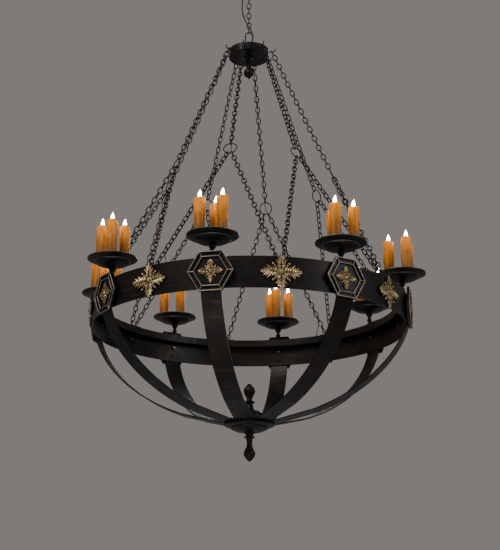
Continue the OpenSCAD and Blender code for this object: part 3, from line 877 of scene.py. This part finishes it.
@dataclass(frozen=True)
class Candles:
    """Twenty-four sleeves that look like half-burnt candles, each with a flame bulb."""

    middle: float
    wax: bpy.types.Material
    light: bpy.types.Material
    dish_out: float = 0.742
    ring: float = 0.059
    floor: float = 0.160
    height: float = 0.177
    radius: float = 0.0245
    shoulder: float = 0.008
    mouth: float = 0.0085
    dish: float = 0.0035
    pit: float = 0.004
    ragged: float = 0.0022
    columns: int = 72
    wall_rows: int = 34
    drips: int = 9
    bulb_foot: float = 0.163
    bulb_length: float = 0.052
    seed: int = 24

    def sleeve(self, random: np.random.Generator) -> Surface:
        """One sleeve as r(a, z): a slightly wavy wall, plus drips that run down from the rim, each a bell
        curve round the wall that swells at its lower end, a rounded shoulder and a dished top.

        Args:
            random: where the drips' places and lengths come from.

        Returns:
            The sleeve about Z, its foot at z = 0, marked with height and drip.
        """
        a = circle(self.columns)[None, :]
        wall = np.linspace(0.0, self.height - self.shoulder, self.wall_rows)
        bend = np.linspace(0.0, math.pi / 2, 7)[1:]
        inward = np.linspace(self.radius - self.shoulder, self.mouth, 4)[1:]
        curve = self.radius - self.shoulder * (1 - np.cos(bend))
        radii = np.concatenate([[0.0], np.full(self.wall_rows, self.radius), curve, inward, [0.0]])
        sink = self.dish * (1 - (inward - self.mouth) / (self.radius - self.shoulder - self.mouth))
        lift = self.height - self.shoulder * (1 - np.sin(bend))
        heights = np.concatenate([[0.0], wall, lift, self.height - sink, [self.height - self.pit]])
        r, z = radii[:, None] * np.ones_like(a), heights[:, None] * np.ones_like(a)
        places = np.sort(circle(self.drips) + random.uniform(-0.26, 0.26, self.drips))
        widths = random.uniform(0.13, 0.26, self.drips)
        ends = self.height - random.uniform(0.018, 0.150, self.drips)
        sizes = random.uniform(0.0012, 0.0030, self.drips)
        gap = np.angle(np.exp(1j * (a[..., None] - places)))
        over = z[..., None] - ends
        swell = 1 + 0.55 * np.exp(-((over - 0.006) / 0.006) ** 2)
        fall = smooth_step((over + 0.003) / 0.008) * swell
        ridges = np.exp(-((gap / widths) ** 2)) * fall * sizes
        drip = ridges.sum(axis=2)
        wave = 0.0005 * np.cos(2 * a + 40 * z + places[0]) + 0.0004 * np.cos(3 * a - 70 * z + places[1])
        share = smooth_step(r / self.radius * 1.6 - 0.5)
        r = r + (drip + wave) * share
        lip = self.ragged * (np.cos(2 * a + places[2]) + 0.6 * np.cos(5 * a + places[3]))
        z = z + lip * smooth_step((z - self.height + 0.020) / 0.020) * smooth_step(r / self.radius * 1.4)
        points = np.stack([r * np.cos(a), r * np.sin(a), z], axis=2).reshape(-1, 3)
        marks = {
            Mark.HEIGHT.value: np.clip(z / self.height, 0.0, 1.0).ravel(),
            Mark.DRIP.value: (drip * share / 0.003).ravel(),
        }
        return Surface(points, grid_faces(len(radii), self.columns, close_columns=True), marks)

    def bulb(self) -> Surface:
        """A flame bulb: a neck, a belly and a long tip, its middle line leaning more towards the tip."""
        t = np.linspace(0.0, 1.0, 18)
        belly = 0.0088 * np.sin(math.pi * np.clip((t - 0.18) / 0.82, 0.0, 1.0) ** 0.62) ** 0.85
        radii = np.maximum(belly, 0.0064 * (1 - smooth_step((t - 0.22) / 0.12)))
        radii[[0, -1]] = 0.0
        surface = revolved(radii, t * self.bulb_length, 16)
        lean = 0.0022 * np.repeat(smooth_step((t - 0.55) / 0.45), 16)
        surface.points[:, 0] += lean
        surface.marks = {Mark.HEIGHT.value: np.repeat(t, 16)}
        return surface

    def build(self) -> None:
        """Makes three sleeves per dish, one piece for each dish, and all the bulbs as one piece."""
        random = np.random.default_rng(self.seed)
        bulbs = []
        for i, azimuth in enumerate(SIDE_AZIMUTHS, 1):
            sleeves = []
            for a in np.radians([60.0, 180.0, 300.0]):
                out = self.dish_out + self.ring * math.cos(a)
                at = np.array([self.ring * math.sin(a), -out, self.floor])
                for made, foot, kept in (
                    (self.sleeve(random), 0.0, sleeves),
                    (self.bulb(), self.bulb_foot, bulbs),
                ):
                    made.points = made.points + at + [0.0, 0.0, foot]
                    kept.append(made.turned(azimuth))
            surface = Surface.joined(sleeves).raised(self.middle)
            finished(f"candles_{i}", surface, self.wax, ["candle_sleeves"], crease=60.0)
        surface = Surface.joined(bulbs).raised(self.middle)
        finished("lit_bulbs", surface, self.light, ["flame_bulbs"], crease=60.0)


# ---- medallions ----


@dataclass(frozen=True)
class Leaf:
    """One cast leaf: forward lobes, a hollow middle vein, slanted strands and a lifted tip."""

    length: float
    width: float
    thick: float
    lobes: int
    start: float
    rows: int
    top_points: int

    def surface(self, azimuth: float) -> Surface:
        """The leaf as a closed shell, with v from -1 to 1 across it and u from 0 to 1 along it. Half its
        width is W sin(pi u^0.7)^0.8 (1 - 0.45 u) times a tooth that grows along each lobe and drops at
        its end. Points move forwards by |v|^1.3, which slants the lobes and the strands. The height is a
        crown (1 - 0.5 v^2) with a vein and two strands for each lobe, plus a lift u^2. The back is flat.

        Args:
            azimuth: where the leaf points, counted from +X.

        Returns:
            The leaf with its back towards z = 0, marked with relief.
        """
        u = np.linspace(0.0, 1.0, self.rows)[:, None]
        v = np.linspace(-1.0, 1.0, self.top_points)[None, :]
        outline = np.clip(np.sin(math.pi * u**0.7), 0.0, 1.0) ** 0.8 * (1 - 0.45 * u)
        turn = np.mod(self.lobes * u, 1.0)
        tooth = 0.70 + 0.30 * smooth_step(turn / 0.62) * (1 - smooth_step((turn - 0.80) / 0.20))
        half = self.width / 2 * outline * tooth
        half[[0, -1]] = 0.0
        strands = 0.5 + 0.5 * np.cos(4 * math.pi * self.lobes * (u - 0.03 * np.abs(v)))
        vein = 1 - 0.60 * np.exp(-((v / 0.16) ** 2)) * (1 - u) ** 0.3
        crown = (1 - 0.5 * v**2) * (0.30 + 0.70 * strands) * vein
        crest = np.clip(np.sin(math.pi * np.clip(u, 0.02, 0.98) ** 0.6), 0.05, 1.0) ** 0.5
        rise = 0.45 * self.thick * u**2
        top = self.thick * (0.35 + 0.65 * crown) * crest + rise
        low = np.broadcast_to(0.6 * rise, top.shape)
        x = self.start + u * (self.length - self.start) + 0 * v
        x = x + 0.22 * self.length * np.abs(v) ** 1.3 * np.sin(math.pi * u**0.8) ** 1.4 * tooth
        x = np.minimum(x, self.length)
        upper = np.stack([x, half * v, top], axis=2)
        lower = np.stack([x, half * v, low], axis=2)[:, ::-1]
        points = np.concatenate([upper, lower], axis=1)
        relief = np.concatenate([crown + 0.25 * u, np.zeros_like(crown)], axis=1)
        faces = grid_faces(self.rows, 2 * self.top_points, close_columns=True)
        return Surface(points.reshape(-1, 3), faces, {Mark.RELIEF.value: relief.ravel()}).turned(azimuth)


@dataclass(frozen=True)
class Rosette:
    """A four-pointed leaf rosette: four long leaves, a short leaf with a ball between each two, a ring of
    small inner leaves, and a fluted boss."""

    width: float
    height: float
    thick: float
    rows: int = 46
    top_points: int = 13

    def surface(self) -> Surface:
        """All leaves, balls and the boss as one surface, facing +Z, its widest way along X."""
        parts = [self.boss()]
        mean = (self.width + self.height) / 4
        for k in range(4):
            reach = (self.width if k % 2 == 0 else self.height) / 2
            turn = k * math.pi / 2
            long = Leaf(reach, reach * 0.80, self.thick, 4, reach * 0.06, self.rows, self.top_points)
            short = Leaf(mean * 0.54, mean * 0.26, self.thick * 0.7, 2, mean * 0.06, 20, 9)
            between = turn + math.pi / 4
            parts += [long.surface(turn), short.surface(between), self.ball(mean, between)]
            inner = Leaf(mean * 0.46, mean * 0.18, self.thick * 1.05, 1, mean * 0.06, 14, 7)
            parts += [inner.surface(turn + math.pi / 8), inner.surface(turn - math.pi / 8)]
        return Surface.joined(parts)

    def ball(self, mean: float, azimuth: float) -> Surface:
        """The bead at the end of a short leaf: a sphere, x = r sin t cos a, y = r sin t sin a."""
        reach = mean * 0.06
        t = np.linspace(0.0, math.pi, 8)
        bead = revolved(reach * np.sin(t), self.thick * 0.5 - reach * np.cos(t), 12)
        at = mean * 0.58 * np.array([math.cos(azimuth), math.sin(azimuth), 0.0])
        bead.marks = {Mark.RELIEF.value: np.full(len(bead.points), 0.85)}
        return replace(bead, points=bead.points + at)

    def boss(self) -> Surface:
        """A low dome with twelve flutes: z = t (1 - (r/R)^4)(0.80 + 0.20 f), f = (1 + cos 12a) / 2."""
        reach = self.width * 0.105
        r = reach * np.linspace(0.0, 1.0, 10)[:, None]
        a = circle(48)[None, :]
        flute = 0.5 + 0.5 * np.cos(12 * a)
        z = self.thick * (1 - (r / reach) ** 4) * (0.80 + 0.20 * flute)
        relief = np.broadcast_to(0.35 + 0.65 * flute * (r / reach), z.shape)
        shell = np.stack([r * np.cos(a), r * np.sin(a), z], axis=2)
        points = np.concatenate([shell, np.zeros_like(shell[:1])]).reshape(-1, 3)
        marks = {Mark.RELIEF.value: np.concatenate([relief, 0 * relief[-1:]]).ravel()}
        return Surface(points, grid_faces(11, 48, close_columns=True), marks)


@dataclass(frozen=True)
class Medallions:
    """Moulded hexagon frames, their small rosettes, and the large rosettes between them."""

    middle: float
    band_radius: float
    worn: bpy.types.Material
    gilt: bpy.types.Material
    plate_out: float
    hexagon: float = 0.206
    hexagon_height: float = 0.004
    inner: float = 0.156
    large: tuple[float, float] = (0.185, 0.162)
    small: tuple[float, float] = (0.110, 0.107)
    sunk: float = 0.0002

    def rim(self, outer: float, width: float, height: float) -> Surface:
        """A rounded bead round a hexagon with its points left and right: the hexagon's outline times a
        radius that follows half a superellipse from the outer edge to the inner one.

        Args:
            outer: distance of the outer corners from the middle.
            width: the bead's width along a corner's radius.
            height: how far it stands out.

        Returns:
            The bead as a closed ring, marked with relief.
        """
        t = np.linspace(0.0, math.pi, 13)
        radius = outer - width / 2 + width / 2 * np.sign(np.cos(t)) * np.abs(np.cos(t)) ** 0.8
        height_at = height * np.sin(t) ** 0.6
        radius = np.concatenate([radius, radius[-1:], radius[:1]])
        height_at = np.concatenate([height_at, [-self.sunk, -self.sunk]])
        segments = 8
        corner = np.stack([np.cos(circle(6)), np.sin(circle(6))], axis=1)
        share = (np.arange(segments) / segments)[None, :, None]
        after = np.roll(corner, -1, axis=0)
        outline = (corner[:, None] * (1 - share) + after[:, None] * share).reshape(-1, 2)
        flat = outline[:, None] * radius[None, :, None]
        z = np.broadcast_to(height_at, flat.shape[:2])
        points = np.concatenate([flat, z[..., None]], axis=2).reshape(-1, 3)
        relief = np.broadcast_to(np.clip(height_at / height, 0.0, 1.0) ** 2, z.shape)
        faces = grid_faces(len(outline), len(radius), close_rows=True, close_columns=True)
        return Surface(points, faces, {Mark.RELIEF.value: relief.ravel()})

    def rib(self, azimuth: float, start: float, end: float, width: float, height: float) -> Surface:
        """A rounded bar between the two rims at a corner: height h sin(t)^0.6 across it."""
        t = np.linspace(0.0, math.pi, 9)
        across = np.concatenate([-np.cos(t), [1.0, -1.0]]) * width / 2
        z = np.concatenate([height * np.sin(t) ** 0.6, [-self.sunk, -self.sunk]])
        stations = np.array([start, start, end, end])
        size = np.array([0.0, 1.0, 1.0, 0.0])[:, None]
        x = np.broadcast_to(stations[:, None], (4, len(z)))
        points = np.stack([x, across * size, z * size], axis=2).reshape(-1, 3)
        relief = np.broadcast_to(np.clip(z / height, 0.0, 1.0) ** 2, (4, len(z)))
        faces = grid_faces(4, len(z), close_columns=True)
        return Surface(points, faces, {Mark.RELIEF.value: relief.ravel()}).turned(azimuth)

    def facing(self, surface: Surface, out: float, height: float) -> Surface:
        """Stands a surface upright in front of the axis, its +Z outwards."""
        across, up, outward = np.array([1.0, 0, 0]), np.array([0.0, 0, 1.0]), np.array([0.0, -1.0, 0])
        return surface.placed(across, up, outward, np.array([0.0, -out, self.middle + height]))

    def build(self) -> None:
        """Makes the hexagon frames and both kinds of rosette."""
        corner, inner = self.hexagon / 2, self.inner / 2
        parts = [self.rim(corner, 0.0075, 0.009), self.rim(inner, 0.0065, 0.008)]
        parts += [self.rib(a, inner - 0.002, corner - 0.004, 0.0055, 0.0075) for a in circle(6)]
        frames = self.facing(Surface.joined(parts), self.plate_out, self.hexagon_height).around()
        finished("hexagon_mouldings", frames, self.worn, ["hexagon_frames"], crease=50.0)
        small = Rosette(*self.small, 0.0068, 34, 11).surface()
        small = self.facing(small, self.plate_out, self.hexagon_height).around()
        finished("small_leaf_rosettes", small, self.gilt, ["small_rosettes"], crease=60.0)
        large = self.facing(Rosette(*self.large, 0.0088).surface(), self.band_radius + 0.0003, 0.0)
        large = large.turned(STEP / 2).around()
        finished("large_leaf_rosettes", large, self.gilt, ["large_rosettes"], crease=60.0)


# ---- the whole ----


class Chandelier:
    """Dresses the CAD nodes and makes the pieces that stand for the plain ones."""

    CAD_FINISHES = {
        Slot.IRON: IronFinish("wrought iron"),
        Slot.STEEL: PlainFinish("zinc plate", (0.55, 0.55, 0.56), 0.34, 1.0, (900.0, 900.0, 40.0)),
        Slot.BLACK: PlainFinish("black plastic", (0.022, 0.022, 0.023), 0.5),
        Slot.SOCKET: PlainFinish("ivory plastic", (0.70, 0.64, 0.52), 0.4),
        Slot.GILT: PlainFinish("gilt bolt", (0.50, 0.36, 0.17), 0.33, 0.95, (120.0, 120.0, 120.0)),
    }
    FLAT_IRON = {
        "ring_band": IronFinish("band iron", dent_scale=34.0, dent_depth=0.0010, streak=(5.0, 5.0, 70.0)),
        "bowl_straps": IronFinish("strap iron", dent_scale=42.0, streak=(9.0, 9.0, 60.0)),
        "hexagon_plates": IronFinish(
            "panel iron", brown=(0.009, 0.0075, 0.0065), streak_highlight=(0.02, 0.018, 0.016)
        ),
    }
    CORD_END = 0.006
    PLATE_OUT = 0.0104
    LIP = 0.0026

    def __init__(self, frame: dict) -> None:
        """Reads the driving places from the frame."""
        self.frame = frame
        low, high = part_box("ring_band")
        self.middle = (low.z + high.z) / 2
        self.band_radius = high.x
        self.hub_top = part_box("hub_drum")[1].z
        self.slots = {p["node"]: Slot(p["material_slot"]) for p in frame["record"]["subparts"]}

    def dress(self) -> None:
        """Gives every CAD node that stays its finish."""
        made = {slot: finish.build() for slot, finish in self.CAD_FINISHES.items()}
        own = {node: finish.build() for node, finish in self.FLAT_IRON.items()}
        # The lips of the dishes and cones get a pale line: worn bare, and partly a painted highlight.
        for node in ("dish_cones", "drip_dishes"):
            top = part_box(node)[1].z
            own[node] = IronFinish(f"{node} iron", lip=(top - self.LIP, top - 0.3 * self.LIP)).build()
        for name, node in self.frame["nodes"].items():
            if node.hide_render:
                continue
            finish = own.get(name) or made.get(self.slots[name], made[Slot.IRON])
            node.data.materials.clear()
            node.data.materials.append(finish)
            log.info("%s: CAD node in %s", name, finish.name)

    def build(self) -> None:
        """Makes every new piece, cords first."""
        iron = IronFinish("chain iron", dent_scale=160.0, dent_depth=0.0004, roughness=(0.3, 0.5)).build()
        black = PlainFinish("lead cover", (0.020, 0.019, 0.018), 0.55).build()
        braid = ClothCordFinish("braided cover").build()
        SupplyCord(braid, black).build(self.hub_top + self.CORD_END)
        Chains(self.middle, iron, black).build()
        Candles(self.middle, WaxFinish("honey resin").build(), BulbFinish("lit bulb").build()).build()
        worn, gilt = WornFinish("rubbed iron").build(), GiltFinish("antique gilt").build()
        Medallions(self.middle, self.band_radius, worn, gilt, self.band_radius + self.PLATE_OUT).build()
        self.dress()


def corners() -> list[list[float]]:
    """The shown object's box as plain lists."""
    return [list(c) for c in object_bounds()]


def main() -> None:
    """Builds the stage and the chandelier."""
    logging.basicConfig(level=logging.INFO, format="%(message)s")
    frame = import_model()
    chandelier = Chandelier(frame)
    Stage(chandelier.middle).build()
    chandelier.build()


if __name__ == "__main__":
    main()
